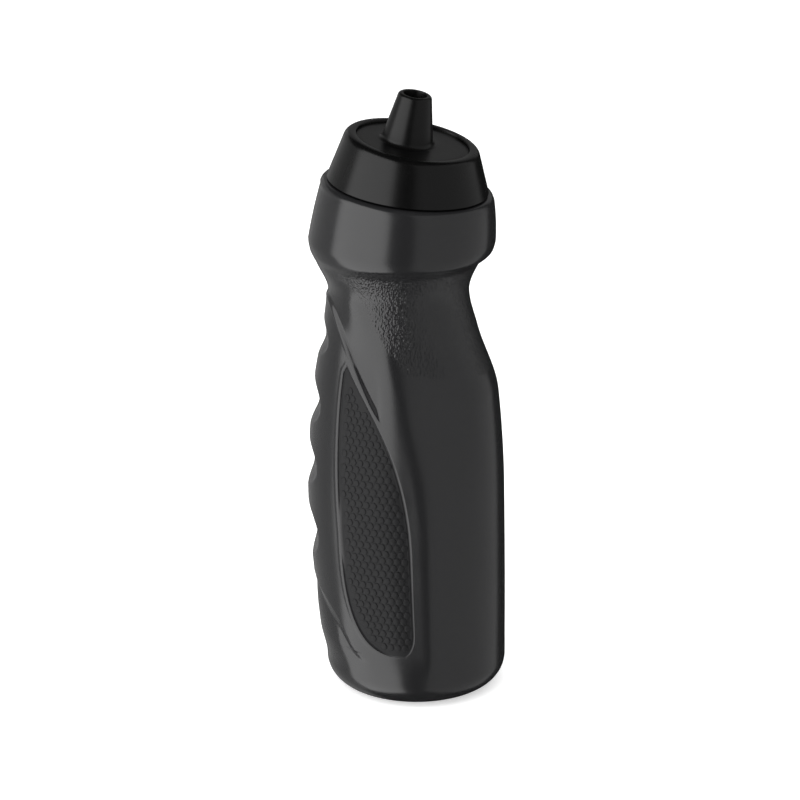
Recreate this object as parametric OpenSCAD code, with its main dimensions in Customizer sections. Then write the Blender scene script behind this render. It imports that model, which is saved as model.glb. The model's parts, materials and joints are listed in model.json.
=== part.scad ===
// Sports squeeze bottle: blow-moulded body with a leaning neck, a screw cap,
// a soft mouthpiece and a self-closing valve with four petals.
// Millimetres, +Z up, the smooth front faces -Y and the finger grip faces +Y.

/* [Body] */
// Width of the body, side to side
body_w = 74; // [66:0.5:90]
// Depth of the body, front to back
body_depth = 81.5; // [76:0.5:98]
// Height of the widest part of the body
belly_z = 85; // [80:1:92]
// How far the middle of the body lies behind the base
belly_back = 4.6; // [2:0.1:7]
// Wall of the squeezable shell
wall = 1.4; // [1:0.1:1.8]

/* [Base] */
// Diameter of the round base
base_d = 73.8; // [66:0.1:75]
// Radius of the rounded edge under the body
base_round = 11; // [7:0.5:13]
// Width of the flat ring that it stands on
foot_w = 2.6; // [2:0.1:5]
// Rise of the dished middle of the base
push_up = 4; // [2:0.5:6]

/* [Waist and collar] */
// Diameter of the waist
waist_d = 57.5; // [54:0.5:68]
// Height of the waist
waist_z = 168; // [166:0.5:170]
// How far the middle of the waist lies behind the base
waist_back = 8.2; // [5:0.1:10]
// Diameter of the collar under the cap
collar_d = 75.2; // [72:0.2:82]
// Height of the collar's widest ring
collar_z = 189.5; // [188:0.5:192]
// How far the middle of the collar lies behind the base
collar_back = 6.4; // [4:0.1:8]

/* [Neck] */
// Height of the middle of the seat that the cap closes on
seat_z = 211; // [209:0.5:216]
// How far the middle of the seat lies behind the base
seat_back = 4; // [2:0.1:6]
// Forward lean of the neck, degrees
neck_lean = 6.9; // [4:0.1:9]
// Bore of the mouth
mouth_d = 44.8; // [40:0.2:46]
// Wall of the neck
neck_wall = 2.2; // [1.8:0.1:2.6]
// Height of the neck above the seat
neck_h = 11; // [10:0.5:12]
// Pitch of the screw thread
pitch = 4; // [3.6:0.1:4.4]
// Height of the thread's ridge
ridge_h = 1.1; // [0.9:0.05:1.3]
// Width of the thread's ridge at its root
ridge_w = 1.9; // [1.6:0.1:2]

/* [Screw cap] */
// Height from the seat to the rim, along the neck's axis
cap_h = 19; // [18:0.5:22]
// Diameter of the skirt's foot
skirt_d = 64.8; // [62:0.2:67]
// Wall of the outer skirt and of the threaded skirt inside it
skirt_wall = 1.8; // [1.4:0.1:2.2]
// Further forward lean of the rim, degrees
rim_lean = 3.35; // [0:0.05:4]
// Bore of the rim, around the mouthpiece
rim_d = 45.6; // [44:0.2:46.4]
// Radius of the rolled rim
rim_round = 3.2; // [2:0.1:3.6]
// Thickness of the lip that holds the mouthpiece down
rim_lip = 2.6; // [2:0.1:3]

/* [Mouthpiece] */
// How far the disc lies below the rim
disc_drop = 1; // [0.5:0.1:1.6]
// Thickness of the disc
disc_t = 2.2; // [1.8:0.1:2.6]
// How far the spout stands behind the middle of the disc
spout_back = 2.35; // [0:0.05:4]
// Height of the spout above the rim
spout_h = 18.6; // [16:0.2:24]
// Diameter at the foot of the spout
spout_foot_d = 20; // [19:0.2:24]
// Diameter across the lip of the spout
spout_top_d = 13.7; // [12.6:0.1:15]
// Drinking hole
hole_d = 9.4; // [8.6:0.1:10]

/* [Valve] */
// Diameter of the valve
valve_d = 15; // [13:0.1:15.4]
// Thickness of the valve's rim
valve_t = 1.6; // [1.4:0.1:2]
// Thickness of the membrane and its petals
membrane_t = 0.6; // [0.4:0.05:0.8]
// Side of the square that the petals close
petal_square = 5.6; // [4.8:0.1:5.8]
// Width of the slits between the petals
slit = 0.16; // [0.1:0.02:0.2]
// Angle that each petal can bend up from the membrane
petal_bend = 70; // [40:1:75]
// Opening of the ring that holds the valve
retainer_bore_d = 10.4; // [9:0.1:11]

/* [Hidden] */
$fn = 72;

// Clearances: between cap and seat, thread flanks and crests, and pieces that rest on each other
seat_gap = 0.4;
thread_gap = 0.3;
fit_gap = 0.1;
// A cut or a joining piece reaches this far past a face
over = 1;

// Finger grip: [height, depth, half height] of each groove across the back
GROOVES = [[148, 1.6, 9], [121, 3, 12], [95, 2.4, 12], [65, 3, 14]];
grip_edge = 130;
grip_fade = 26;

// Side panel: heights of its tip, widest part and bottom, and the angles of its edges,
// measured round from the front
panel_tip = 143;
panel_wide = 60;
panel_low = 23;
panel_front = 67;
panel_back = 112;
panel_drop = 1;
panel_wall = 1.5;
panel_curve = 2.5;
frame_w = 9;

// The base stands this far in front of the origin, so that the origin is the middle of the box
base_y = -(belly_back + body_depth / 2 - base_d / 2) / 2;
neck_r = mouth_d / 2 + neck_wall;
crest_r = neck_r + ridge_h;
bore_r = crest_r + thread_gap;
thread_start = 3.2;
thread_turns = 1.25;
// How far a ridge's flanks run into the wall behind it, and how far each flank leans over its height
thread_root = 0.8;
flank_lean = 0.53;
collar_round = 2.4;
seat_edge_r = skirt_d / 2 + collar_round + 0.1;

// Cap and mouthpiece
shoulder_r = rim_d / 2 + 4.8;
skirt_in = bore_r + skirt_wall;
seal_t = 1.6;
seal_r = mouth_d / 2 + neck_wall + 0.8;
seal_top = neck_h + fit_gap + seal_t;
// The mouthpiece is clamped by its flange, which passes over the seal on a plug that stays inside it
flange_r = rim_d / 2 + 2.4;
flange_t = 1.2;
plug_r = min(flange_r, seal_r - 2 * fit_gap);
plug_in = min(mouth_d / 2 - 1, flange_r - 3.8);
hollow_h = min((skirt_d / 2 - skirt_wall - skirt_in) * 2.6,
               cap_h - rim_lip - flange_t - skirt_wall - flange_r * tan(rim_lean));
puck_h = cap_h - seal_top + 4;
lip_round = 1.3;
foot_round = 1.6;
valve_top = 1.2;
slit_half = slit * sqrt(1 / 2);
petal_base = petal_square / 2 - slit / 2;
bend_room = membrane_t * tan(petal_bend / 2 + 1);

// Lines of the body at the base's middle: [height, distance in front, behind, half width]
belly_front = body_depth / 2 - belly_back;
belly_rear = body_depth / 2 + belly_back;
waist_front = waist_d / 2 - waist_back;
waist_rear = waist_d / 2 + waist_back;
collar_front = collar_d / 2 - collar_back;
collar_rear = collar_d / 2 + collar_back;
chest_z = (belly_z + waist_z) / 2;
hip_z = base_round + 14;
STATIONS = [
    [0, base_d / 2, base_d / 2, base_d / 2],
    [base_round, base_d / 2, base_d / 2, base_d / 2],
    [hip_z, base_d / 2, base_d * 0.2 + belly_rear * 0.56, base_d / 2],
    [belly_z, belly_front, belly_rear, body_w / 2],
    [chest_z, belly_front * 0.82 + waist_front * 0.18, belly_rear * 0.69 + waist_rear * 0.31,
     body_w * 0.36 + waist_d * 0.14],
    [waist_z - 16, waist_front + 4, waist_rear + 1.7, waist_d / 2 + 1.2],
    [waist_z, waist_front, waist_rear, waist_d / 2],
    [waist_z + 12, waist_front + 4.2, waist_rear + 4.2, waist_d / 2 + 4],
    [collar_z - 4, collar_front - 0.9, collar_rear - 0.6, collar_d / 2 - 0.8],
    [collar_z, collar_front, collar_rear, collar_d / 2],
];

// Slope of column k at row i, zero where the line turns
function slope(rows, i, k) =
    i == 0 || i == len(rows) - 1 ? 0 :
    let (before = (rows[i][k] - rows[i - 1][k]) / (rows[i][0] - rows[i - 1][0]),
         after = (rows[i + 1][k] - rows[i][k]) / (rows[i + 1][0] - rows[i][0]))
    before * after <= 0 ? 0 : 2 * before * after / (before + after);

// Smooth curve through column k of the rows at height z, without overshoot
function through(rows, z, k) =
    let (last = len(rows) - 1,
         i = min([for (j = [0 : last - 1]) if (z <= rows[j + 1][0] || j == last - 1) j]),
         span = rows[i + 1][0] - rows[i][0],
         t = (z - rows[i][0]) / span)
    (2 * t * t * t - 3 * t * t + 1) * rows[i][k]
    + (t * t * t - 2 * t * t + t) * span * slope(rows, i, k)
    + (3 * t * t - 2 * t * t * t) * rows[i + 1][k]
    + (t * t * t - t * t) * span * slope(rows, i + 1, k);

function ease(a, b, x) = let (t = min(1, max(0, (x - a) / (b - a)))) t * t * (3 - 2 * t);
function mix(a, b, t) = a + (b - a) * t;

// Depth of the finger grooves at an angle from the front and a height
function groove(angle, z) =
    ease(grip_edge - grip_fade / 2, grip_edge + grip_fade / 2, angle)
    * sum([for (g = GROOVES) abs(z - g[0]) < g[2] ? g[1] * pow(cos(90 * (z - g[0]) / g[2]), 2) : 0]);
function sum(v) = v * [for (x = v) 1];

// Angles of the panel's edges at height z
function edge_front(z) =
    let (t = max(0, min(1, (z - panel_wide) / (panel_tip - panel_wide))))
    panel_front + (panel_back - 4 - panel_front) * pow(t, panel_curve);
function edge_back(z) =
    let (t = max(0, min(1, (panel_wide - z) / (panel_wide - panel_low))))
    panel_back - 26 * (1 - sqrt(1 - t * t));

// The columns of the skin follow the panel's edges where it has one. Each pair is a column's
// number and its angle from the front
half = 26;
function keys(z) = [
    [0, 0], [7, edge_front(z) - frame_w], [9, edge_front(z)], [10, edge_front(z) + panel_wall],
    [14, edge_back(z) - panel_wall], [15, edge_back(z)], [18, grip_edge], [half, 180]];
function column(i, z) =
    let (m = i <= half ? i : 2 * half - i,
         rows = keys(z),
         k = min([for (j = [0 : len(rows) - 2]) if (m <= rows[j + 1][0]) j]),
         own = mix(rows[k][1], rows[k + 1][1], (m - rows[k][0]) / (rows[k + 1][0] - rows[k][0])),
         plain = 180 * m / half,
         mixed = mix(own, plain, max(ease(panel_tip, waist_z, z), 1 - ease(panel_low - 12, panel_low, z))))
    i <= half ? mixed : 360 - mixed;
function on_panel(i, z) =
    let (m = i <= half ? i : 2 * half - i)
    m >= 10 && m <= 14 && z > panel_low && z < panel_tip ? panel_drop : 0;

// One ring of the skin: middle [y, z], lean, half width, half depth, and how far in from the outside
function ring(y, z, lean, a, b, inset, shaped) =
    [for (i = [0 : 2 * half - 1])
        let (t = column(i, z),
             n = [sin(t) / a, cos(t) / b] / norm([sin(t) / a, cos(t) / b]),
             cut = inset + (shaped ? groove(min(t, 360 - t), z) + on_panel(i, z) : 0),
             across = a * sin(t) - cut * n[0],
             ahead = b * cos(t) - cut * n[1])
        [across, y - ahead * cos(lean), z - ahead * sin(lean)]];

// A level ring of the body at height z
function body_ring(z, inset) =
    let (f = through(STATIONS, z, 1), r = through(STATIONS, z, 2), a = through(STATIONS, z, 3))
    ring(base_y + (r - f) / 2, z, 0, a, (f + r) / 2, inset, true);

// A ring of the collar, t from 0 at its widest to 1 at the seat's edge. It leans more as it rises
function collar_ring(t, inset) =
    let (y = mix(base_y + collar_back, base_y + seat_back, t),
         z = mix(collar_z, seat_z - collar_round, t),
         r = mix(collar_d / 2, seat_edge_r, t * t * 0.35 + t * 0.65))
    ring(y, z, neck_lean * t, r, r, inset, false);

// A ring square to the neck's axis, h above the seat
function neck_ring(h, r) =
    ring(base_y + seat_back - h * sin(neck_lean), seat_z + h * cos(neck_lean), neck_lean, r, r, 0, false);

// A round ring of the base
function base_ring(z, r) =
    [for (p = ring(base_y, 0, 0, r, r, 0, false)) [p[0], p[1], z]];

foot_r = base_d / 2 - base_round;
// All rings of the shell, from the outside of the base up to the seat, and back down inside
OUTSIDE = concat(
    [for (t = [0.4, 0.8]) base_ring(push_up * (1 - t * t), (foot_r - foot_w) * t)],
    [base_ring(0, foot_r - foot_w), base_ring(0, foot_r)],
    [for (a = [18 : 18 : 72]) base_ring(base_round * (1 - cos(a)), foot_r + base_round * sin(a))],
    [for (z = [base_round : 4 : 18]) body_ring(z, 0)],
    [body_ring(panel_low - 0.6, 0), body_ring(panel_low + 0.6, 0)],
    [for (z = [panel_low + 5 : 5 : panel_tip - 2]) body_ring(z, 0)],
    [body_ring(panel_tip - 0.6, 0), body_ring(panel_tip + 0.6, 0)],
    [for (z = [panel_tip + 5 : 5 : collar_z - 7]) body_ring(z, 0)],
    [for (z = [collar_z - 5, collar_z - 3, collar_z - 1.2]) body_ring(z, 0)],
    [for (t = [0 : 0.25 : 1]) collar_ring(t, 0)],
    [for (a = [30 : 30 : 90]) neck_ring(-collar_round * (1 - sin(a)),
                                        seat_edge_r - collar_round * (1 - cos(a)))]
);
shell_bore_r = mouth_d / 2 + neck_wall * 0.5;
INSIDE = concat(
    [neck_ring(0, shell_bore_r), neck_ring(-wall - 0.6, shell_bore_r),
     neck_ring(-wall - 0.6, seat_edge_r - collar_round - wall)],
    [for (t = [0.8, 0.4, 0]) collar_ring(t, wall)],
    [for (z = [collar_z - 4, collar_z - 9]) body_ring(z, wall)],
    [for (z = [waist_z : -6 : panel_low]) body_ring(z, wall)],
    [body_ring(base_round + 4, wall)],
    [for (a = [72, 48, 24]) base_ring(base_round - (base_round - wall) * cos(a),
                                      foot_r + (base_round - wall) * sin(a))],
    [for (t = [0.9, 0.5]) base_ring(wall + push_up * (1 - t * t), (foot_r - foot_w) * t)]
);

// Closed skin over a stack of rings, with a point at each end
module skin(rings, first, last) {
    n = 2 * half;
    count = len(rings);
    points = concat([for (r = rings) each r], [first, last]);
    function at(r, i) = r * n + i % n;
    faces = concat(
        [for (i = [0 : n - 1]) [at(0, i), at(0, i + 1), n * count]],
        [for (r = [0 : count - 2], i = [0 : n - 1]) each [
            [at(r, i), at(r + 1, i), at(r + 1, i + 1)],
            [at(r, i), at(r + 1, i + 1), at(r, i + 1)]]],
        [for (i = [0 : n - 1]) [at(count - 1, i + 1), at(count - 1, i), n * count + 1]]);
    polyhedron(points, faces);
}

// Axes: the neck's, the mouthpiece's and the spout's
module on_neck() translate([0, base_y + seat_back, seat_z]) rotate([neck_lean, 0, 0]) children();
module on_mouth() on_neck() translate([0, 0, cap_h]) rotate([rim_lean, 0, 0]) children();
module on_spout() on_mouth() translate([0, spout_back, 0]) children();

// A screw thread's ridge on a wall of radius root: its flanks run on into the wall down to radius
// bury, and it fades out of and into the wall at its ends
module ridge(root, crest, bury, start, turns) {
    n = round(turns * 30);
    flank = flank_lean / (crest - root);
    function half_w(r) = ridge_w / 2 - flank * (r - root);
    points = [for (i = [0 : n])
        let (a = i * turns * 360 / n,
             z = start + pitch * a / 360,
             rise = 0.05 + 0.95 * min(1, i / 4, (n - i) / 4),
             top = mix(bury, crest, rise))
        each [for (p = [[bury, -1], [bury, 1], [top, 1], [top, -1]])
            [p[0] * cos(a), p[0] * sin(a), z + p[1] * half_w(p[0])]]];
    sides = [for (i = [0 : n - 1], j = [0 : 3]) let (k = (j + 1) % 4) each [
        [i * 4 + j, i * 4 + k, i * 4 + 4 + k], [i * 4 + j, i * 4 + 4 + k, i * 4 + 4 + j]]];
    ends = [[0, 2, 1], [0, 3, 2], [n * 4, n * 4 + 1, n * 4 + 2], [n * 4, n * 4 + 2, n * 4 + 3]];
    faces = concat(sides, ends);
    polyhedron(points, crest < root ? faces : [for (f = faces) [f[2], f[1], f[0]]]);
}

// Blow-moulded shell with the neck and its thread. The neck is turned by half a column, so that
// its seam line falls between two columns of the skin
module bottle() color("#3a3b3d") {
    skin(concat(OUTSIDE, INSIDE), [0, base_y, push_up], [0, base_y, push_up + wall]);
    on_neck() {
        rotate(90 / half) rotate_extrude() polygon([
            [mouth_d / 2, -wall - 2], [neck_r, -wall - 2], [neck_r, neck_h - 0.5], [neck_r - 0.5, neck_h],
            [mouth_d / 2 + 0.5, neck_h], [mouth_d / 2, neck_h - 0.5]]);
        ridge(neck_r, crest_r, neck_r - thread_root, thread_start, thread_turns);
    }
}

// The mouthpiece's flange and plug, down to a depth below the rim and grown by a gap
module clamped(depth, gap) {
    translate([0, 0, -depth]) cylinder(r = plug_r + gap, h = depth - rim_lip);
    if (flange_r > plug_r + 0.01)
        translate([0, 0, -rim_lip - flange_t - 2 * gap])
            cylinder(r = flange_r + gap, h = flange_t + 2 * gap);
}

// Cap: a cone with a rolled rim that leans a little more than its foot, over a threaded skirt
module screw_cap() color("#101011") {
    on_neck()
        ridge(bore_r, neck_r + thread_gap, bore_r + thread_root, thread_start + pitch / 2, thread_turns);
    difference() {
        hull() {
            on_neck() translate([0, 0, seat_gap]) cylinder(d = skirt_d, h = 0.6);
            on_mouth() translate([0, 0, -rim_round])
                rotate_extrude($fn = 48) translate([shoulder_r - rim_round, 0]) circle(rim_round, $fn = 28);
        }
        // Room for the neck, the seal and the mouthpiece's rim
        on_neck() translate([0, 0, -over]) cylinder(r = bore_r, h = seal_top + over);
        on_mouth() {
            clamped(cap_h - seal_top + 3, fit_gap);
            translate([0, 0, -rim_lip - over]) cylinder(d = rim_d, h = rim_lip + 2 * over);
        }
        // Hollow between the two skirts
        on_neck() rotate_extrude() polygon([
            [skirt_in, -over], [skirt_d / 2 - skirt_wall, -over], [skirt_d / 2 - skirt_wall, seat_gap],
            [skirt_in + 0.4, hollow_h], [skirt_in, hollow_h]]);
    }
}

// Soft mouthpiece: a disc with a clamped rim, the cone of the spout and a pocket for the valve
module mouthpiece() color("#131314") difference() {
    union() {
        on_mouth() {
            translate([0, 0, -fit_gap]) clamped(puck_h - fit_gap, 0);
            translate([0, 0, -rim_lip - over])
                cylinder(d = rim_d - 2 * fit_gap, h = rim_lip + over - disc_drop);
        }
        on_spout() rotate_extrude() polygon([
            [0, -rim_lip], [spout_foot_d / 2 + foot_round, -rim_lip],
            for (a = [0 : 15 : 90])
                [spout_foot_d / 2 + foot_round * (1 - sin(a)), -disc_drop + foot_round * (1 - cos(a))],
            for (a = [0 : 15 : 90])
                [spout_top_d / 2 - lip_round * (1 - cos(a)), spout_h - lip_round * (1 - sin(a))],
            [0, spout_h]]);
    }
    // Flat underside, square to the neck, that presses on the sealing ring
    on_neck() translate([0, 0, seal_top - 2 * puck_h + fit_gap])
        cylinder(r = flange_r + 2 * over, h = 2 * puck_h);
    on_mouth() translate([0, 0, -puck_h - over])
        cylinder(r = plug_in, h = puck_h + over - disc_drop - disc_t);
    on_spout() {
        translate([0, 0, -puck_h]) cylinder(d = valve_d + 2 * fit_gap, h = puck_h + valve_top + fit_gap);
        cylinder(d = hole_d, h = spout_h + over);
    }
}

// Flat gasket that the cap presses onto the neck's lip
module sealing_ring() color("#8f8f8c") on_neck() translate([0, 0, neck_h + fit_gap])
    rotate_extrude() translate([mouth_d / 2 - 0.4, 0]) square([seal_r - mouth_d / 2 + 0.4, seal_t]);

// What is cut away at x, on the petal's side (-1) or the membrane's side (1), so that they don't
// meet when the petal bends
module bend_wedge(x, side) translate([x, petal_square, 0]) rotate([90, 0, 0])
    linear_extrude(2 * petal_square) polygon([
        [0, 0], [side * bend_room, membrane_t], [side * bend_room, membrane_t + over],
        [-side * over, membrane_t + over], [-side * over, 0]]);

// Silicone membrane in a thicker rim, with a square gap that the petals fill
module valve() color("#c9c7c2") on_spout() difference() {
    translate([0, 0, valve_top - valve_t]) cylinder(d = valve_d, h = valve_t);
    translate([0, 0, valve_top - valve_t - over])
        cylinder(r = hole_d / 2 - 0.1, h = valve_t + over - membrane_t);
    translate([-petal_square / 2, -petal_square / 2, valve_top - membrane_t - over])
        cube([petal_square, petal_square, membrane_t + 2 * over]);
    for (turn = [0 : 3]) rotate(90 * turn) translate([0, 0, valve_top - membrane_t]) intersection() {
        bend_wedge(petal_square / 2, 1);
        linear_extrude(membrane_t + over) polygon([
            [0, 0], [petal_square, petal_square], [petal_square, -petal_square]]);
    }
}

// One petal: a right-angled triangle hinged along the lower edge of its long side. That side leans
// in by half of the bend, and the membrane round it by the other half
module petal(turn) color("#d6d4cf") on_spout() rotate(90 * turn)
    translate([0, 0, valve_top - membrane_t]) difference() {
        linear_extrude(membrane_t) polygon([
            [slit_half, 0], [petal_base, petal_base - slit_half], [petal_base, slit_half - petal_base]]);
        bend_wedge(petal_base, -1);
    }
module valve_flap_1() petal(0);
module valve_flap_2() petal(1);
module valve_flap_3() petal(2);
module valve_flap_4() petal(3);

// Ring that snaps in below the valve
module valve_retainer() color("#1b1b1d") on_spout()
    translate([0, 0, -disc_drop - disc_t]) rotate_extrude()
        translate([retainer_bore_d / 2, 0])
            square([(valve_d - retainer_bore_d) / 2, valve_top - valve_t - fit_gap + disc_drop + disc_t]);

bottle();
screw_cap();
mouthpiece();
sealing_ring();
valve();
valve_flap_1();
valve_flap_2();
valve_flap_3();
valve_flap_4();
valve_retainer();
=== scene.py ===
import json
import math

import bpy
import numpy as np
from mathutils import Matrix, Vector


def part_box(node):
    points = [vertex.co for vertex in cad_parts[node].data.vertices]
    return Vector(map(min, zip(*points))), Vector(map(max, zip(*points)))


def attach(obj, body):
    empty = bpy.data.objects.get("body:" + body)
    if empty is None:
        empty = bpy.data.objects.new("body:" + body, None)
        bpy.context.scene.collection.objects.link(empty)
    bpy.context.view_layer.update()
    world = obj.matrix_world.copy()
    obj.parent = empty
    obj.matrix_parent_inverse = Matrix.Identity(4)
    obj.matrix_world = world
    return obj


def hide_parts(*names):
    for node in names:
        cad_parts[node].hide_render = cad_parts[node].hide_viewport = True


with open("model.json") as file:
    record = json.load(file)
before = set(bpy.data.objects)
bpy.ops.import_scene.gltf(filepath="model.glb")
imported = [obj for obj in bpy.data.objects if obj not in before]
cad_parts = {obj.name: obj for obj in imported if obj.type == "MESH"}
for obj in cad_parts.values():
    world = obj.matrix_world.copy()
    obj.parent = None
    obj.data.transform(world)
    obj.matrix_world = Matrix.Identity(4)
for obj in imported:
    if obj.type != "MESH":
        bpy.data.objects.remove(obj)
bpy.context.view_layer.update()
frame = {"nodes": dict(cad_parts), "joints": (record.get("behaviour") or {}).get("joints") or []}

# ---------------------------------------------------------------------------------------------
# The body: one blow-moulded shell of coloured polyethylene. A raised grip wraps round its back,
# with four finger scoops and a sunken pebbled panel on each side. Sizes are in millimetres, and
# the shape is worked out as rings of points, from the base up, over the seat and down inside.
# ---------------------------------------------------------------------------------------------
MM = 0.001
joints = {j["name"]: j for j in frame["joints"]}
seat = np.array(joints["cap_turn"]["pos_m"]) / MM
neck_axis = np.array(joints["cap_turn"]["axis"])
neck_lean = math.atan2(-neck_axis[1], neck_axis[2])
shell_low = np.array(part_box("bottle")[0]) / MM

base_r = 36.9
base_round = 11.0
foot_w = 2.6
push_up = 4.0
body_w = 74.0
body_depth = 81.5
belly_z = 85.0
belly_back = 4.6
waist_r = 28.75
waist_z = 168.0
waist_back = 8.2
collar_r = 37.6
collar_z = 189.5
collar_back = 6.4
collar_round = 2.4
seat_edge_r = 34.9
wall = 1.4
base_y = shell_low[1] + base_r


def ease(a, b, x):
    """0 below a, 1 above b, and a smooth step between."""
    t = np.clip((x - a) / (b - a), 0.0, 1.0)
    return t * t * (3 - 2 * t)


def through(rows, z, column):
    """Smooth curve through one column of the rows at height z, without overshoot."""
    x = np.array([row[0] for row in rows], float)
    y = np.array([row[column] for row in rows], float)
    rise = np.diff(y) / np.diff(x)
    slope = np.zeros(len(x))
    same = rise[:-1] * rise[1:] > 0
    slope[1:-1][same] = 2 * rise[:-1][same] * rise[1:][same] / (rise[:-1] + rise[1:])[same]
    i = int(np.clip(np.searchsorted(x, z) - 1, 0, len(x) - 2))
    span = x[i + 1] - x[i]
    t = (z - x[i]) / span
    return ((2 * t**3 - 3 * t**2 + 1) * y[i] + (t**3 - 2 * t**2 + t) * span * slope[i]
            + (3 * t**2 - 2 * t**3) * y[i + 1] + (t**3 - t**2) * span * slope[i + 1])


belly_front = body_depth / 2 - belly_back
belly_rear = body_depth / 2 + belly_back
waist_front = waist_r - waist_back
waist_rear = waist_r + waist_back
# Height, distance in front of the base's middle, distance behind it, half width
BODY_LINES = [
    (0, base_r, base_r, base_r),
    (base_round, base_r, base_r, base_r),
    (base_round + 14, base_r, base_r * 0.4 + belly_rear * 0.56, base_r),
    (belly_z, belly_front, belly_rear, body_w / 2),
    ((belly_z + waist_z) / 2, belly_front * 0.82 + waist_front * 0.18,
     belly_rear * 0.69 + waist_rear * 0.31, body_w * 0.36 + waist_r * 0.28),
    (waist_z - 16, waist_front + 4, waist_rear + 1.7, waist_r + 1.2),
    (waist_z, waist_front, waist_rear, waist_r),
    (waist_z + 12, waist_front + 4.2, waist_rear + 4.2, waist_r + 4),
    (collar_z - 4, collar_r - collar_back - 0.9, collar_r + collar_back - 0.6, collar_r - 0.8),
    (collar_z, collar_r - collar_back, collar_r + collar_back, collar_r),
]

# Outline of the side panel, as angles from the front and heights
panel_front, panel_back = 67.0, 112.0
panel_low, panel_wide, panel_tip = 22.3, 60.0, 143.0
panel_corner = 32.0
heel_h = 42.0
unrolled = math.radians(38.5)


def heel_angle(z):
    """Angle of the panel's back edge at height z, where it rounds into the bottom."""
    return panel_back - 36 * (1 - (1 - (1 - (z - panel_low) / heel_h) ** 2.5) ** (1 / 2.5))


def panel_outline():
    """Points round the panel: up its curved front edge, down its straighter back edge."""
    up = np.linspace(panel_corner, panel_tip, 60)
    t = np.clip((up - panel_wide) / (panel_tip - panel_wide), 0, 1)
    front = panel_front + (panel_back - 1 - panel_front) * t**2.5
    down = np.linspace(panel_tip - 3, panel_low + heel_h, 40)
    back = panel_back + 3.2 * np.sin(math.pi * np.clip((down - 72) / 82, 0, 1) ** 1.3)
    heel_up = panel_low + heel_h * (1 - np.cos(np.linspace(math.pi / 2, 0, 40)))
    heel = [heel_angle(heel_up), heel_up]
    b = np.linspace(0, math.pi / 2, 12)[1:]
    toe = [76 - 9 * np.sin(b), panel_corner - 9.7 * np.cos(b)]
    angle = np.concatenate([front, back, heel[0], toe[0]])
    height = np.concatenate([up, down, heel[1], toe[1]])
    return np.stack([angle * unrolled, height], 1)


def distance_to(outline, points):
    """Signed distance in millimetres from points to a closed outline, negative inside it."""
    best = np.full(len(points), 1e9)
    inside = np.zeros(len(points), bool)
    for a, b in zip(outline, np.roll(outline, -1, 0)):
        ab = b - a
        if not ab.any():
            continue
        t = np.clip(((points - a) @ ab) / (ab @ ab), 0, 1)
        gap = points - a - t[:, None] * ab
        best = np.minimum(best, np.einsum("ij,ij->i", gap, gap))
        crosses = (a[1] > points[:, 1]) != (b[1] > points[:, 1])
        if a[1] != b[1]:
            at = a[0] + (points[:, 1] - a[1]) / (b[1] - a[1]) * ab[0]
            inside ^= crosses & (points[:, 0] < at)
    return np.where(inside, -1, 1) * np.sqrt(best)


PANEL = panel_outline()
panel_drop = 0.6
panel_crown = 0.6
bead_rise = 0.08
# Finger scoops across the back: height, depth, half height
SCOOPS = [(148, 1.8, 9.5), (121, 3.0, 12), (95, 2.6, 12), (66, 3.0, 14)]
scoop_reach = 45.0
step_drop = 0.95
step_w = 1.4
ledge_w = 4.2


# Upper edge of the grip: where it starts, how far it rises and over how many degrees
edge_from, edge_low, edge_rise, edge_span = 84.5, 121.0, 45.0, 64.0


def along_edge(angle):
    """How far round the grip's upper edge an angle is, as a quarter turn from start to end."""
    return math.pi / 2 * np.clip((angle - edge_from) / edge_span, 0, 1)


def grip_edge_above(angle):
    """Height of the grip's upper edge, which falls from the back to the panel's front."""
    return edge_low + edge_rise * np.sin(along_edge(angle))


# Height of the grip's lower edge at angles from the front
LOWER_EDGE = np.array([(95, 18), (104.6, 19.2), (110, 21.7), (115, 25.5), (121, 30.5),
                       (137.5, 38), (144, 41), (150, 44), (165, 46), (180, 46)])


def shoulder_line(z):
    """Angle of the soft shoulder between the smooth front and the panel's frame."""
    return 60 + 15 * np.clip((z - 75) / 65, 0, 1.3) ** 1.2


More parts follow.
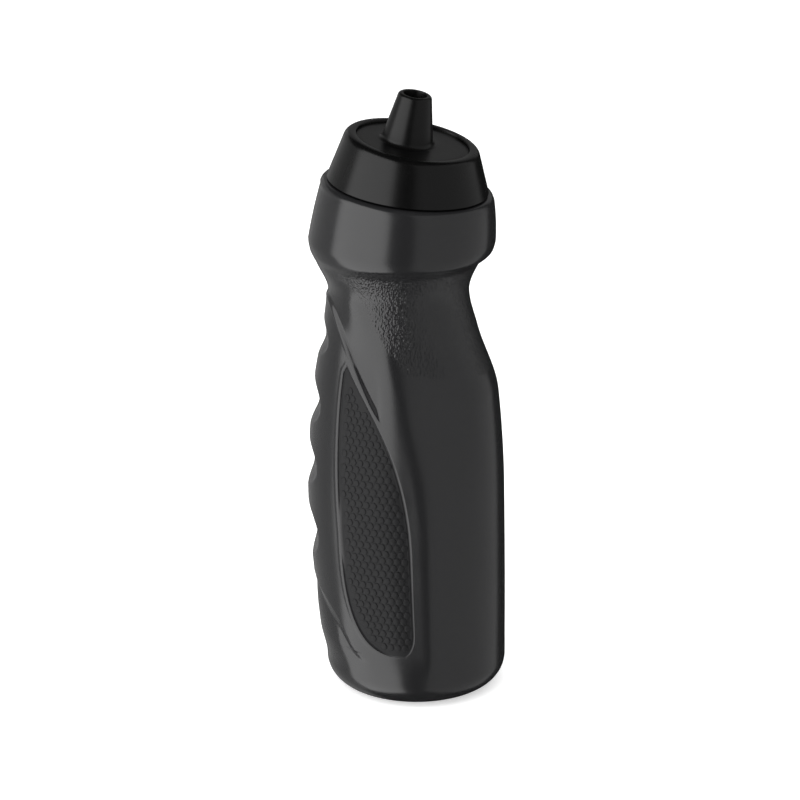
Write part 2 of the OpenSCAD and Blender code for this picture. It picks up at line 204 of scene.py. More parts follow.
def relief(angle, z):
    """How far the surface stands out from the plain body, at angles from the front and heights."""
    angle = np.abs(angle)
    points = np.stack([angle * unrolled, z], 1)
    out = np.zeros(len(angle))
    # Each scoop is smooth from top to bottom and ends in a crisp crescent at its sides
    for height, depth, half in SCOOPS:
        u = np.clip(np.abs(z - height) / half, 0, 1)
        side = np.clip((180 - angle) / (scoop_reach * np.sqrt(1 - u * u) + 1e-6), 0, 1)
        out -= depth * np.cos(math.pi / 2 * u) ** 2 * (1 - side**5) ** 0.6
    # The frame falls away from the shoulder towards the panel, and rises again slowly behind it
    s = (angle - shoulder_line(z)) * unrolled
    low = 1 - ease(85, 128, z)
    fall = 0.24 * low * ease(12, 24, z)
    tilt = 0.18 * ease(90, 130, z) * (1 - ease(144, 160, z))
    w = 1.6
    turned = (np.sqrt(s * s + w * w) + s) / 2
    reach = np.maximum((panel_front - shoulder_line(z)) * unrolled, 3.0) + 1.0
    out -= fall * reach * np.tanh(turned / reach) * (1 - ease(8, 34, s))
    out -= tilt * 10 * np.tanh((np.sqrt(s * s + w * w) - s) / 20) * (1 - ease(12, 34, -s))
    # The panel's floor, which crowns away from its front edge, its wall and a fine bead inside it
    near = distance_to(PANEL, points)
    faint = (1 - ease(76, 90, angle)) * (1 - ease(45, 85, z))
    out -= panel_drop * (1 - 0.6 * faint) * ease(0.0, 1.0, -near)
    out += panel_crown * (1 - np.exp(np.minimum(near, 0) / 3.5)) * low * (1 - ease(76, 98, angle))
    out += bead_rise * np.exp(-(((near + 1.45) / 0.3) ** 2))
    out += 0.12 * np.exp(-(((near - 0.7) / 0.7) ** 2)) * ease(85, 100, angle)
    # Upper edge of the grip: a step down to the body, which rises again over a hand's breadth
    slope = edge_rise / edge_span * math.pi / 2 * np.cos(along_edge(angle)) / unrolled
    above = (z - grip_edge_above(angle)) / np.sqrt(1 + slope**2)
    drop = step_drop * (1 - 0.35 * ease(115, 160, angle)) * ease(84.0, 88.5, angle)
    back_up = np.where(above > 0, 1 - ease(2, 16, above), 1.0)
    out -= drop * ease(-0.3, step_w, above) * back_up
    out += 0.12 * np.exp(-(((above + 0.7) / 0.5) ** 2)) * ease(86, 92, angle)
    # Lower edge: a lit face down to a crisp corner, and a slow rise below it
    over = (z - np.interp(angle, LOWER_EDGE[:, 0], LOWER_EDGE[:, 1])) / 1.25
    deep = 1.1 * ease(95, 118, angle)
    face = ledge_w * ease(98, 125, angle) * (1 - 0.6 * ease(130, 150, angle)) + 0.5
    out -= deep * np.where(over > 0, np.clip(1 - over / face, 0, 1), np.clip(1 + over / 11, 0, 1) ** 2)
    return out


half_columns = 200


def column_angles(z):
    """Angles of the columns at height z, closer together along the panel's edges."""
    t = min(max((z - panel_wide) / (panel_tip - panel_wide), 0.0), 1.0)
    front = panel_front + (panel_back - 4 - panel_front) * t**2.5
    above, below = ease(panel_tip - 6, waist_z, z), 1 - ease(panel_low - 10, panel_low, z)
    share = 1 - float(max(above, below))
    back = float(heel_angle(min(max(z, panel_low), panel_low + heel_h)))
    back += 2.5 * float(ease(panel_low + heel_h - 25, panel_low + heel_h + 10, z))
    keys = np.array([0, front - 4, front + 4, back - 2.5, back + 4, 180])
    keys[3] = max(keys[3], keys[2] + 1)
    keys[4] = max(keys[4], keys[3] + 4)
    counts = np.array([0, 0.28, 0.42, 0.54, 0.68, 1.0]) * half_columns
    columns = np.arange(half_columns + 1)
    own = np.interp(columns, counts, keys)
    right = share * own + (1 - share) * columns * 180 / half_columns
    return np.concatenate([right, -right[-2:0:-1]])


def ring(y, z, lean, a, b, inset=0.0, shaped=False):
    """One ring of the skin: its middle, lean, half width, half depth and distance in from outside."""
    angle = column_angles(z)
    t = np.radians(angle)
    normal = np.stack([np.sin(t) / a, np.cos(t) / b], 1)
    normal /= np.linalg.norm(normal, axis=1)[:, None]
    out = -inset + (relief(angle, np.full(len(angle), float(z))) if shaped else 0.0)
    across = a * np.sin(t) + out * normal[:, 0]
    ahead = b * np.cos(t) + out * normal[:, 1]
    return np.stack([across, y - ahead * math.cos(lean), z - ahead * math.sin(lean)], 1)


def body_ring(z, inset=0.0):
    f, r, a = (through(BODY_LINES, z, column) for column in (1, 2, 3))
    return ring(base_y + (r - f) / 2, z, 0.0, a, (f + r) / 2, inset, True)


def collar_ring(t, inset=0.0):
    y = (base_y + collar_back) * (1 - t) + seat[1] * t
    z = collar_z * (1 - t) + (seat[2] - collar_round) * t
    r = collar_r + (seat_edge_r - collar_r) * (t * t * 0.35 + t * 0.65)
    return ring(y, z, neck_lean * t, r, r, inset)


def neck_ring(h, r):
    at = seat + h * neck_axis
    return ring(at[1], at[2], neck_lean, r, r)


def base_ring(z, r):
    points = ring(base_y, 0.0, 0.0, r, r)
    points[:, 2] = z
    return points


def ring_mesh(name, rings, ends=(), loop=False, sharp=50):
    """A mesh object over a stack of rings. Ends are the points that close it, or loop joins it up."""
    rings = np.array(rings)
    rows, n = rings.shape[:2]
    points = np.concatenate([rings.reshape(-1, 3)] + [np.array([end]) for end in ends]) * MM
    i = np.arange(n)
    j = (i + 1) % n
    quads = []
    for r in range(rows if loop else rows - 1):
        up = (r + 1) % rows
        quads.append(np.stack([r * n + i, r * n + j, up * n + j, up * n + i], 1))
    faces = np.concatenate(quads).tolist()
    if ends:
        last = (rows - 1) * n
        faces += np.stack([j, i, np.full(n, rows * n)], 1).tolist()
        faces += np.stack([last + i, last + j, np.full(n, rows * n + 1)], 1).tolist()
    mesh = bpy.data.meshes.new(name)
    mesh.from_pydata(points.tolist(), [], faces)
    mesh.shade_smooth()
    mesh.set_sharp_from_angle(angle=math.radians(sharp))
    piece = bpy.data.objects.new(name, mesh)
    bpy.context.scene.collection.objects.link(piece)
    return piece


foot_r = base_r - base_round
neck_r = 24.6
mouth_r = 22.4
neck_h = 11.0
fine = 0.45
dish_r = foot_r - foot_w
outside = [base_ring(push_up * (1 - t * t), dish_r * t) for t in np.linspace(0.1, 0.9, 9)]
outside += [base_ring(0.12, dish_r - 0.4), base_ring(0, dish_r + 0.3), base_ring(0, foot_r)]
outside += [base_ring(base_round * (1 - math.cos(a)), foot_r + base_round * math.sin(a))
            for a in np.radians(np.arange(6, 90, 6))]
outside += [body_ring(z) for z in np.arange(base_round, collar_z - 8, fine)]
outside += [body_ring(z) for z in np.arange(collar_z - 8, collar_z, 0.8)]
outside += [collar_ring(t) for t in np.linspace(0, 1, 16)]
outside += [neck_ring(-collar_round * (1 - math.sin(a)), seat_edge_r - collar_round * (1 - math.cos(a)))
            for a in np.radians(np.arange(15, 91, 15))]
outside += [neck_ring(h, r) for h, r in (
    (0.0, neck_r + 0.8), (0.1, neck_r + 0.3), (0.8, neck_r), (neck_h - 0.5, neck_r),
    (neck_h - 0.15, neck_r - 0.15), (neck_h, neck_r - 0.5), (neck_h, mouth_r + 0.5),
    (neck_h - 0.15, mouth_r + 0.15), (neck_h - 0.5, mouth_r), (-wall - 2, mouth_r),
    (-wall - 1.6, mouth_r + 2))]
inside = [collar_ring(t, wall) for t in np.linspace(0.8, 0, 6)]
inside += [body_ring(z, wall) for z in np.arange(collar_z - 3, base_round + 4, -3)]
inner_round = base_round - wall
inside += [base_ring(base_round - inner_round * math.cos(a), foot_r + inner_round * math.sin(a))
           for a in np.radians([75, 60, 45, 30, 15])]
inside += [base_ring(wall + push_up * (1 - t * t), dish_r * t) for t in (0.95, 0.7, 0.4, 0.15)]
body = ring_mesh("body_shell", outside + inside, [(0, base_y, push_up), (0, base_y, push_up + wall)])


def linear(colour):
    """An sRGB hex colour as linear red, green, blue and alpha."""
    parts = [int(colour[i:i + 2], 16) / 255 for i in (1, 3, 5)]
    return [p / 12.92 if p <= 0.04045 else ((p + 0.055) / 1.055) ** 2.4 for p in parts] + [1.0]


def add_node(tree, kind, links=None, **settings):
    """A node with its settings: a name that isn't the node's own is one of its inputs."""
    new = tree.nodes.new(kind)
    for key, value in settings.items():
        if hasattr(new, key):
            setattr(new, key, value)
        else:
            new.inputs[key.replace("_", " ")].default_value = value
    for key, socket in (links or {}).items():
        tree.links.new(socket, new.inputs[key])
    return new


def new_material(name):
    """A new material with all its nodes cleared, and its node tree."""
    material = bpy.data.materials.new(name)
    material.use_nodes = True
    tree = material.node_tree
    tree.nodes.clear()
    return material, tree


def finish_with(tree, shader):
    add_node(tree, "ShaderNodeOutputMaterial", {"Surface": shader.outputs[0]})


def spark_eroded(tree, place):
    """The panels' finish: the same plastic from a spark-eroded mould, which is dull and even."""
    pits = add_node(tree, "ShaderNodeTexNoise", {"Vector": place}, Scale=1 / (0.35 * MM), Detail=3.0)
    bump = add_node(tree, "ShaderNodeBump", {"Height": pits.outputs["Fac"]},
                    Strength=0.35, Distance=0.08 * MM)
    rough = add_node(tree, "ShaderNodeMapRange", {"Value": pits.outputs["Fac"]}, To_Min=0.4, To_Max=0.5)
    return add_node(tree, "ShaderNodeBsdfPrincipled",
                    {"Normal": bump.outputs[0], "Roughness": rough.outputs[0]},
                    Base_Color=linear("#19191a"), IOR=1.27)


# Blow-moulded polyethylene: a soft gloss with a faint unevenness from the mould, and a leather
# grain of cells about a millimetre across round the waist, where the attribute "grain" is set.
# The attribute "panel" is 1 on the floors of the side panels
def moulded_polyethylene():
    material, tree = new_material("moulded_polyethylene")
    place = add_node(tree, "ShaderNodeTexCoord").outputs["Object"]
    ripple = add_node(tree, "ShaderNodeTexNoise", {"Vector": place}, Scale=1 / (14 * MM), Detail=2.0)
    skin = add_node(tree, "ShaderNodeTexNoise", {"Vector": place}, Scale=1 / (0.9 * MM), Detail=3.0)
    warp = add_node(tree, "ShaderNodeTexNoise", {"Vector": place}, Scale=1 / (2.2 * MM), Detail=2.0)
    bend = add_node(tree, "ShaderNodeVectorMath", {0: warp.outputs["Color"]},
                    operation="SCALE", Scale=1.1 * MM)
    bent = add_node(tree, "ShaderNodeVectorMath", {0: place, 1: bend.outputs[0]}, operation="ADD")
    flat = add_node(tree, "ShaderNodeVectorMath", {0: bent.outputs[0]}, operation="MULTIPLY")
    flat.inputs[1].default_value = (1.0, 1.0, 0.6)
    cells = add_node(tree, "ShaderNodeTexVoronoi", {"Vector": flat.outputs[0]}, Scale=1 / (0.75 * MM),
                     feature="SMOOTH_F1", Smoothness=0.4)
    grain = add_node(tree, "ShaderNodeAttribute", attribute_name="grain")
    low = add_node(tree, "ShaderNodeBump", {"Height": ripple.outputs["Fac"]},
                   Strength=0.4, Distance=0.05 * MM)
    fine_skin = add_node(tree, "ShaderNodeBump", {"Height": skin.outputs["Fac"], "Normal": low.outputs[0]},
                         Strength=0.1, Distance=0.03 * MM)
    leather = add_node(tree, "ShaderNodeBump",
                       {"Height": cells.outputs["Distance"], "Strength": grain.outputs["Fac"],
                        "Normal": fine_skin.outputs[0]}, Distance=0.22 * MM)
    rough = add_node(tree, "ShaderNodeMapRange", {"Value": ripple.outputs["Fac"]}, To_Min=0.2, To_Max=0.25)
    shader = add_node(tree, "ShaderNodeBsdfPrincipled",
                      {"Normal": leather.outputs[0], "Roughness": rough.outputs[0]},
                      Base_Color=linear("#1d1d1e"), IOR=1.51)
    panel = add_node(tree, "ShaderNodeAttribute", attribute_name="panel")
    both = add_node(tree, "ShaderNodeMixShader", {0: panel.outputs["Fac"], 1: shader.outputs[0],
                                                  2: spark_eroded(tree, place).outputs[0]})
    finish_with(tree, both)
    return material


body.data.materials.append(moulded_polyethylene())


def angles_from_front(points):
    """Angle round the body from the front for points in millimetres, 0 to 180 on both sides."""
    z = points[:, 2]
    heights = np.linspace(0, collar_z, 120)
    lines = np.array([[through(BODY_LINES, h, c) for c in (1, 2, 3)] for h in heights])
    f, r, a = (np.interp(z, heights, lines[:, c]) for c in range(3))
    y = base_y + (r - f) / 2
    return np.degrees(np.arctan2(np.abs(points[:, 0]) / a, (y - points[:, 1]) / ((f + r) / 2)))


def points_of(mesh):
    co = np.zeros(len(mesh.vertices) * 3)
    mesh.vertices.foreach_get("co", co)
    return co.reshape(-1, 3) / MM


def grain_amount(points):
    """Strength of the leather grain: round the waist and down the front to an arc."""
    angle, z = angles_from_front(points), points[:, 2]
    lower = 137 + 5 * ease(20, 75, angle) + 35 * ease(62, 112, angle)
    top = collar_z - 4.5
    return ease(-1.2, 1.2, z - lower) * (1 - ease(top - 2.5, top + 0.5, z)) * (1 - ease(118, 128, angle))


skin_points = points_of(body.data)
outer = np.arange(len(skin_points)) < len(outside) * half_columns * 2
grain = body.data.attributes.new("grain", "FLOAT", "POINT")
grain.data.foreach_set("value", np.where(outer, grain_amount(skin_points), 0).astype(np.float32))
unrolled_points = np.stack([angles_from_front(skin_points) * unrolled, skin_points[:, 2]], 1)
panel = body.data.attributes.new("panel", "FLOAT", "POINT")
in_panel = ease(0.2, 0.9, -distance_to(PANEL, unrolled_points)) * outer
panel.data.foreach_set("value", in_panel.astype(np.float32))
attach(body, "bottle")
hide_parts("bottle")

# ---------------------------------------------------------------------------------------------
# The pebbles: low rounded hexagons moulded into each side panel so that wet fingers hold it.
# They are part of the shell, laid out in rows up the panel and left off a margin at its edge.
# ---------------------------------------------------------------------------------------------
pebble_pitch = 3.0
pebble_row = 2.87
pebble_rise = 0.3
panel_margin = 0.95


def body_point(angle, z, out):
    """Points on the body at angles from the front and heights, set out by out along the outward direction."""
    f, r, a = (np.array([through(BODY_LINES, h, c) for h in z]) for c in (1, 2, 3))
    b = (f + r) / 2
    t = np.radians(angle)
    normal = np.stack([np.sin(t) / a, -np.cos(t) / b], 1)
    normal /= np.linalg.norm(normal, axis=1)[:, None]
    flat = np.stack([a * np.sin(t), base_y + (r - f) / 2 - b * np.cos(t)], 1) + out[:, None] * normal
    return np.column_stack([flat, z])


def eroded_polyethylene():
    material, tree = new_material("eroded_polyethylene")
    finish_with(tree, spark_eroded(tree, add_node(tree, "ShaderNodeTexCoord").outputs["Object"]))
    return material


def pebbles(name, side):
    """All pebbles of one panel: each a rounded hexagon with steep sides and a domed top."""
    centres = []
    for row, z in enumerate(np.arange(panel_low + 1.6, panel_tip, pebble_row)):
        first_s = panel_front * unrolled + (row % 2) * pebble_pitch / 2
        for s in np.arange(first_s, (panel_back + 5) * unrolled, pebble_pitch):
            centres.append((s, z))
    centres = np.array(centres)
    depth = -distance_to(PANEL, centres)
    centres = centres[depth > panel_margin + pebble_pitch / 2 + 1.0 * ease(95, 140, centres[:, 1])]
    n = 18
    turn = np.radians(np.arange(n) * 360 / n)
    corner = np.cos(math.pi / 6) / np.cos((turn + math.pi / 6) % (math.pi / 3) - math.pi / 6)
    outline = (0.9 * corner + 0.1) * pebble_pitch / 2
    steps = [(0.98, -0.12), (0.94, 0.45), (0.88, 0.72), (0.76, 0.86), (0.45, 0.96), (0.2, 1.0)]
    points, faces = [], []
    for s, z in centres:
        first = len(points)
        for reach, rise in steps:
            points += [(s + reach * r * math.sin(a),
                        z + reach * r * math.cos(a) * pebble_row / (pebble_pitch * 0.866),
                        rise * pebble_rise) for r, a in zip(outline, turn)]
        points.append((s, z, pebble_rise))
        for k in range(len(steps) - 1):
            for i in range(n):
                a, b = first + k * n + i, first + k * n + (i + 1) % n
                faces.append((b, a, a + n, b + n))
        last = first + (len(steps) - 1) * n
        faces += [(last + (i + 1) % n, last + i, last + n) for i in range(n)]
        faces.append(tuple(first + i for i in range(n)))
    points = np.array(points)
    floor_at = relief(points[:, 0] / unrolled, points[:, 1])
    place = body_point(points[:, 0] / unrolled, points[:, 1], points[:, 2] + floor_at)
    place[:, 0] *= side
    if side < 0:
        faces = [f[::-1] for f in faces]
    mesh = bpy.data.meshes.new(name)
    mesh.from_pydata((place * MM).tolist(), [], faces)
    mesh.shade_smooth()
    mesh.set_sharp_from_angle(angle=math.radians(70))
    piece = bpy.data.objects.new(name, mesh)
    bpy.context.scene.collection.objects.link(piece)
    mesh.materials.append(dull_plastic)
    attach(piece, "bottle")
    return piece


dull_plastic = eroded_polyethylene()
pebbles("grip_pebbles_left", -1)
pebbles("grip_pebbles_right", 1)

# ---------------------------------------------------------------------------------------------
# The neck thread: one ridge of a little over a turn, moulded with the shell. It rises out of the
# neck and fades back into it.
# ---------------------------------------------------------------------------------------------
thread_pitch = joints["cap_rise"]["range_m"][1] / (joints["cap_turn"]["range_deg"][1] / 360) / MM
thread_start = 3.2
thread_turns = 1.25
crest_r = 25.7
across = np.array([1.0, 0.0, 0.0])
forward = np.array([0.0, -math.cos(neck_lean), -math.sin(neck_lean)])


def thread(name, root, crest, bury, start):
    """A ridge along a screw line round the neck's axis, on a wall of radius root."""
    n = 150
    rings = []
    for i in range(n + 1):
        a = i / n * thread_turns * 2 * math.pi
        rise = min(1.0, i / 16, (n - i) / 16)
        top = bury + (crest - bury) * (0.05 + 0.95 * math.sin(rise * math.pi / 2))
        section = [(bury, -1.2), (bury, 1.2), (root, 0.92), ((root + top) / 2, 0.7), (top, 0.42),
                   (top, -0.42), ((root + top) / 2, -0.7), (root, -0.92)]
        turn = math.cos(a) * across - math.sin(a) * forward
        rings.append([seat + r * turn + (start + thread_pitch * a / (2 * math.pi) + h) * neck_axis
                      for r, h in section])
    if crest > root:
        rings = [r[::-1] for r in rings]
    ends = [np.mean(rings[0], 0), np.mean(rings[-1], 0)]
    return ring_mesh(name, rings, ends, sharp=40)


neck_thread = thread("neck_thread", neck_r, crest_r, neck_r - 0.9, thread_start)
neck_thread.data.materials.append(body.data.materials[0])
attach(neck_thread, "bottle")

# ---------------------------------------------------------------------------------------------
# The sealing ring: a flat ring of grey rubber that the cap presses onto the neck's lip. It is
# cut from sheet, so its edges are square and its face is dull.
# ---------------------------------------------------------------------------------------------


def sheet_rubber():
    material, tree = new_material("sheet_rubber")
    place = add_node(tree, "ShaderNodeTexCoord").outputs["Object"]
    dust = add_node(tree, "ShaderNodeTexNoise", {"Vector": place}, Scale=1 / (0.8 * MM), Detail=4.0)
    tone = add_node(tree, "ShaderNodeMix", {"Factor": dust.outputs["Fac"]}, data_type="RGBA")
    tone.inputs["A"].default_value = linear("#7d7d79")
    tone.inputs["B"].default_value = linear("#93938e")
    bump = add_node(tree, "ShaderNodeBump", {"Height": dust.outputs["Fac"]},
                    Strength=0.3, Distance=0.05 * MM)
    shader = add_node(tree, "ShaderNodeBsdfPrincipled", {"Base Color": tone.outputs["Result"],
                                                         "Normal": bump.outputs[0]}, Roughness=0.75)
    finish_with(tree, shader)
    return material


frame["nodes"]["sealing_ring"].data.materials.clear()
frame["nodes"]["sealing_ring"].data.materials.append(sheet_rubber())

# ---------------------------------------------------------------------------------------------
# The screw cap: moulded polypropylene. A cone with a rolled rim that leans a little more than
# its foot, over a second, threaded skirt. The hollow between the skirts is open underneath.
# ---------------------------------------------------------------------------------------------
cap_h = 19.0
rim_lean = math.radians(3.35)
foot_cap_r = 32.4
rim_bore_r = 22.8
rim_round = 3.2
shoulder_r = rim_bore_r + 4.8
rim_lip = 2.6
seat_gap = 0.4
skirt_bore_r = 26.0
skirt_wall = 1.8
seal_top = 12.7
flange_r = rim_bore_r + 2.4


def leaning_ring(r, h, lean, back=0.0, columns=160):
    """A circle on the neck's axis at height h, leaning further forward, and set back in its plane."""
    total = neck_lean + lean
    ahead = np.array([0.0, -math.cos(total), -math.sin(total)])
    middle = seat + h * neck_axis - back * ahead
    t = np.linspace(0, 2 * math.pi, columns, endpoint=False)
    return middle + r * (np.sin(t)[:, None] * across + np.cos(t)[:, None] * ahead)


def on_rim(r, u, back=0.0, columns=160):
    """A circle square to the rim's axis, u above the rim's plane."""
    total = neck_lean + rim_lean
    up = np.array([0.0, -math.sin(total), math.cos(total)])
    ahead = np.array([0.0, -math.cos(total), -math.sin(total)])
    middle = seat + cap_h * neck_axis + u * up - back * ahead
    t = np.linspace(0, 2 * math.pi, columns, endpoint=False)
    return middle + r * (np.sin(t)[:, None] * across + np.cos(t)[:, None] * ahead)


def between(low, high, steps):
    """Rings that run straight from one ring to another."""
    return [low * (1 - t) + high * t for t in np.linspace(0, 1, steps)]


# The hollow between the skirts, which narrows upwards
hollow_r = 30.4
hollow_top = 7.5


def rolled_rim(a):
    """The ring at angle a up the rolled rim, from 0 level with its middle to a right angle on top."""
    return on_rim(shoulder_r - rim_round + rim_round * math.cos(a), -rim_round + rim_round * math.sin(a))


slant = math.atan2(foot_cap_r - shoulder_r, cap_h - seat_gap - rim_round)
skirt_out_r = skirt_bore_r + skirt_wall
foot_out = leaning_ring(foot_cap_r, seat_gap + 0.5, 0.0)
cap_rings = [leaning_ring(skirt_bore_r, seat_gap, 0.0), leaning_ring(skirt_out_r, seat_gap, 0.0)]
cap_rings += [leaning_ring(skirt_out_r + 0.4, hollow_top, 0.0), leaning_ring(hollow_r, seat_gap + 0.3, 0.0)]
cap_rings += [leaning_ring(hollow_r + 0.3, seat_gap, 0.0), leaning_ring(foot_cap_r - 0.5, seat_gap, 0.0)]
cap_rings += [leaning_ring(foot_cap_r - 0.15, seat_gap + 0.15, 0.0)]
cap_rings += between(foot_out, rolled_rim(slant), 14)
cap_rings += [rolled_rim(a) for a in np.linspace(slant, math.pi / 2, 12)[1:]]
cap_rings += [on_rim(rim_bore_r + 0.45, 0.0), on_rim(rim_bore_r + 0.12, -0.12)]
cap_rings += [on_rim(rim_bore_r, -0.45)]
cap_rings += [on_rim(rim_bore_r, -rim_lip), on_rim(flange_r + 0.1, -rim_lip)]
cap_rings += [on_rim(flange_r + 0.1, -rim_lip - 1.5), leaning_ring(skirt_bore_r, seal_top, 0.0)]
cap = ring_mesh("cap_moulding", cap_rings, loop=True, sharp=35)


# Moulded polypropylene, black through: smooth and fairly glossy, with a very fine even skin that
# spreads the reflections a little
def moulded_polypropylene():
    material, tree = new_material("moulded_polypropylene")
    place = add_node(tree, "ShaderNodeTexCoord").outputs["Object"]
    skin = add_node(tree, "ShaderNodeTexNoise", {"Vector": place}, Scale=1 / (0.5 * MM), Detail=3.0)
    wave = add_node(tree, "ShaderNodeTexNoise", {"Vector": place}, Scale=1 / (9 * MM), Detail=1.0)
    low = add_node(tree, "ShaderNodeBump", {"Height": wave.outputs["Fac"]},
                   Strength=0.3, Distance=0.04 * MM)
    bump = add_node(tree, "ShaderNodeBump", {"Height": skin.outputs["Fac"], "Normal": low.outputs[0]},
                    Strength=0.15, Distance=0.03 * MM)
    rough = add_node(tree, "ShaderNodeMapRange", {"Value": wave.outputs["Fac"]}, To_Min=0.22, To_Max=0.3)
    shader = add_node(tree, "ShaderNodeBsdfPrincipled",
                      {"Normal": bump.outputs[0], "Roughness": rough.outputs[0]},
                      Base_Color=linear("#060606"), IOR=1.36)
    finish_with(tree, shader)
    return material


cap.data.materials.append(moulded_polypropylene())
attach(cap, "cap")
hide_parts("screw_cap")
cap_thread = thread("cap_thread", skirt_bore_r, neck_r + 0.3, skirt_bore_r + 0.7,
                    thread_start + thread_pitch / 2)
cap_thread.data.materials.append(cap.data.materials[0])
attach(cap_thread, "cap")

# ---------------------------------------------------------------------------------------------
# The mouthpiece: one soft moulding of thermoplastic elastomer. Its disc lies just below the cap's
# rim, its edge is clamped under it, and the cone of the spout stands a little behind the middle.
# ---------------------------------------------------------------------------------------------
disc_drop = 1.0
disc_t = 2.2
spout_back = 2.35
spout_h = 18.6
spout_foot_r = 10.0
spout_top_r = 6.85
hole_r = 4.7
lip_round = 1.3
foot_round = 2.2
valve_r = 7.6
valve_top = 1.2
plug_r = 21.4
plug_low = -rim_lip - 1.6


def spout_ring(r, u):
    """A ring round the spout's own axis."""
    return on_rim(r, u, spout_back)


spout_slope = math.atan2(spout_foot_r - spout_top_r, spout_h - lip_round + disc_drop - foot_round)
soft_rings = [on_rim(plug_r, plug_low), on_rim(flange_r, plug_low), on_rim(flange_r, -rim_lip - 0.1)]
soft_rings += [on_rim(rim_bore_r - 0.1, -rim_lip - 0.1), on_rim(rim_bore_r - 0.1, -disc_drop - 0.35)]
soft_rings += [on_rim(rim_bore_r - 0.2, -disc_drop - 0.1), on_rim(rim_bore_r - 0.45, -disc_drop)]
soft_rings += [on_rim(20.0, -disc_drop, 0.2), on_rim(16.0, -disc_drop, 1.2)]
soft_rings += [spout_ring(spout_foot_r + foot_round * (1 - math.sin(a)),
                          -disc_drop + foot_round * (1 - math.cos(a)))
               for a in np.linspace(0, math.pi / 2 - spout_slope, 10)]
soft_rings += [spout_ring(spout_top_r - lip_round * (1 - math.cos(a)), spout_h - lip_round * (1 - math.sin(a)))
               for a in np.linspace(spout_slope, math.pi / 2, 10)]
soft_rings += [spout_ring(hole_r + 0.5, spout_h), spout_ring(hole_r + 0.12, spout_h - 0.12)]
soft_rings += [spout_ring(hole_r, spout_h - 0.5), spout_ring(hole_r, valve_top + 0.1)]
soft_rings += [spout_ring(valve_r, valve_top + 0.1), spout_ring(valve_r, -disc_drop - disc_t)]
soft_rings += [on_rim(plug_r, -disc_drop - disc_t)]
mouthpiece = ring_mesh("mouthpiece_moulding", soft_rings, loop=True, sharp=35)


# Thermoplastic elastomer, black: smooth from a polished mould but softer in its shine than the cap
def soft_elastomer():
    material, tree = new_material("soft_elastomer")
    place = add_node(tree, "ShaderNodeTexCoord").outputs["Object"]
    skin = add_node(tree, "ShaderNodeTexNoise", {"Vector": place}, Scale=1 / (0.6 * MM), Detail=4.0)
    bump = add_node(tree, "ShaderNodeBump", {"Height": skin.outputs["Fac"]},
                    Strength=0.2, Distance=0.04 * MM)
    rough = add_node(tree, "ShaderNodeMapRange", {"Value": skin.outputs["Fac"]}, To_Min=0.27, To_Max=0.37)
    shader = add_node(tree, "ShaderNodeBsdfPrincipled",
                      {"Normal": bump.outputs[0], "Roughness": rough.outputs[0]},
                      Base_Color=linear("#060606"), IOR=1.36)
    finish_with(tree, shader)
    return material


mouthpiece.data.materials.append(soft_elastomer())
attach(mouthpiece, "cap")
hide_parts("mouthpiece")

# ---------------------------------------------------------------------------------------------
# The valve and its petals: milky liquid silicone rubber, thin enough for a little light to come
# through. It sits in the foot of the spout, held by a snap-in ring of black plastic.
# ---------------------------------------------------------------------------------------------


def liquid_silicone():
    material, tree = new_material("liquid_silicone")
    place = add_node(tree, "ShaderNodeTexCoord").outputs["Object"]
    haze = add_node(tree, "ShaderNodeTexNoise", {"Vector": place}, Scale=1 / (1.5 * MM), Detail=3.0)
    rough = add_node(tree, "ShaderNodeMapRange", {"Value": haze.outputs["Fac"]}, To_Min=0.35, To_Max=0.5)
    bump = add_node(tree, "ShaderNodeBump", {"Height": haze.outputs["Fac"]},
                    Strength=0.2, Distance=0.03 * MM)
    shader = add_node(tree, "ShaderNodeBsdfPrincipled",
                      {"Normal": bump.outputs[0], "Roughness": rough.outputs[0]},
                      Base_Color=linear("#3a3a39"), IOR=1.41)
    finish_with(tree, shader)
    return material


silicone = liquid_silicone()
for name in ["valve"] + [f"valve_flap_{k}" for k in range(1, 5)]:
    frame["nodes"][name].data.materials.clear()
    frame["nodes"][name].data.materials.append(silicone)
frame["nodes"]["valve_retainer"].data.materials.clear()
frame["nodes"]["valve_retainer"].data.materials.append(cap.data.materials[0])

# ---------------------------------------------------------------------------------------------
# The studio: a pale floor, two large soft boxes with a dark gap between them where the camera
# stands, a dim card behind and a wide light above that only fills the floor and the tops.
# ---------------------------------------------------------------------------------------------
camera_turn = -68.32
middle_y = base_y * MM


def around(turn, distance, z):
    """A place at an angle round the object, 0 in front of it and positive towards +X."""
    a = math.radians(turn)
    return Vector((distance * math.sin(a), middle_y - distance * math.cos(a), z))


def soft_box(name, turn, distance, z, width, height, radiance):
    """A rectangular lamp that faces the object, with its brightness as seen."""
    lamp = bpy.data.lights.new(name, "AREA")
    lamp.shape = "RECTANGLE"
    lamp.size, lamp.size_y = width, height
    lamp.energy = radiance * width * height * math.pi
    box = bpy.data.objects.new(name, lamp)
    box.location = around(turn, distance, z)
    aim = Vector((0, middle_y, z)) - box.location
    box.rotation_euler = aim.to_track_quat("-Z", "Y").to_euler()
    box.visible_camera = False
    bpy.context.scene.collection.objects.link(box)
    return box


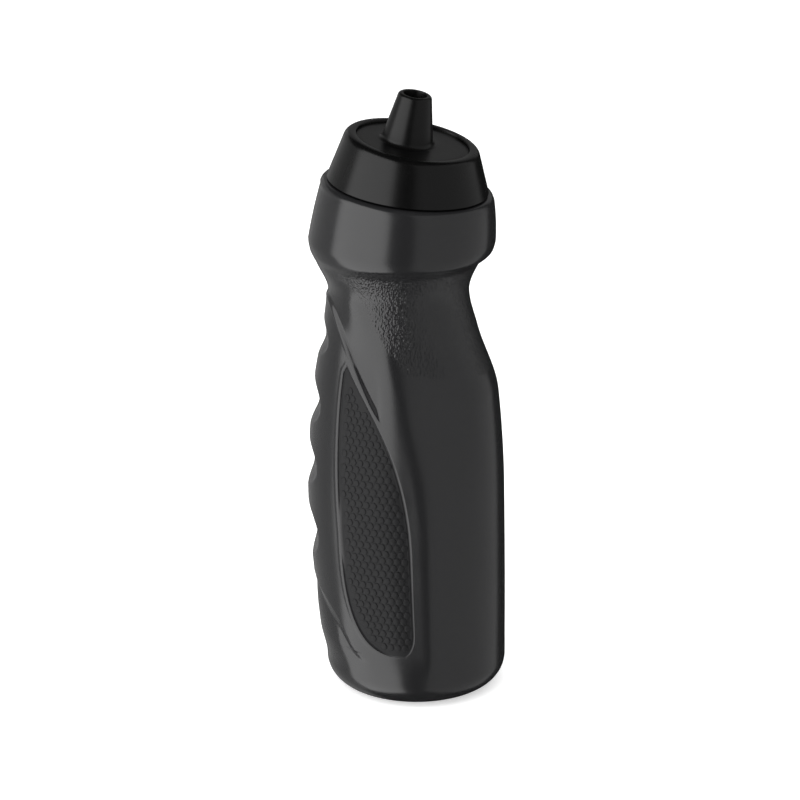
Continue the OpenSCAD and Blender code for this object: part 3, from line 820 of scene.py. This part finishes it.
soft_box("left_box", camera_turn - 55.8, 1.2, -0.25, 1.8, 4.3, 2.4)
soft_box("right_box", camera_turn + 70, 1.2, -0.25, 3.7, 4.3, 0.46)
soft_box("back_left_card", camera_turn - 131, 1.4, -0.7, 1.85, 3.4, 0.38)
soft_box("back_card", camera_turn + 172, 1.5, 0.95, 1.5, 1.1, 0.2)
top = soft_box("top_light", 0, 0.01, 1.8, 3.0, 3.0, 1.6)
top.location = (0, middle_y, 1.8)
top.rotation_euler = (0, 0, 0)
top.visible_glossy = False

world = bpy.data.worlds.new("studio")
bpy.context.scene.world = world
world.use_nodes = True
world.node_tree.nodes.clear()
seen = add_node(world.node_tree, "ShaderNodeBackground", Color=linear("#ffffff"), Strength=1.0)
dim = add_node(world.node_tree, "ShaderNodeBackground", Color=linear("#ffffff"), Strength=0.02)
path = add_node(world.node_tree, "ShaderNodeLightPath")
both = add_node(world.node_tree, "ShaderNodeMixShader",
                {0: path.outputs["Is Camera Ray"], 1: dim.outputs[0], 2: seen.outputs[0]})
add_node(world.node_tree, "ShaderNodeOutputWorld", {"Surface": both.outputs[0]})

floor_mesh = bpy.data.meshes.new("floor")
half_floor = 4.0
floor_corners = [(x * half_floor, y * half_floor, 0) for x, y in ((-1, -1), (1, -1), (1, 1), (-1, 1))]
floor_mesh.from_pydata(floor_corners, [], [(0, 1, 2, 3)])
floor = bpy.data.objects.new("floor", floor_mesh)
floor.location.z = -0.0002
floor.visible_glossy = False
bpy.context.scene.collection.objects.link(floor)
paper, paper_tree = new_material("backlit_white_acrylic")
finish_with(paper_tree, add_node(paper_tree, "ShaderNodeBsdfPrincipled", Base_Color=linear("#f4f4f4"),
                                 Roughness=0.9, Emission_Color=linear("#ffffff"),
                                 Emission_Strength=0.55))
floor_mesh.materials.append(paper)

bpy.context.scene.view_settings.view_transform = "Standard"

# The camera stands low on the left and looks slightly down
camera_distance = 1.28311
camera_height = 0.56309
look_z = 0.12119
look_aside = -0.00674
camera = bpy.data.objects.new("camera", bpy.data.cameras.new("camera"))
camera.data.lens = 150.4
camera.location = around(camera_turn, camera_distance, camera_height)
turn = math.radians(camera_turn)
target = Vector((look_aside * math.cos(turn), middle_y + look_aside * math.sin(turn), look_z))
camera.rotation_euler = (target - camera.location).to_track_quat("-Z", "Y").to_euler()
bpy.context.scene.collection.objects.link(camera)
bpy.context.scene.camera = camera
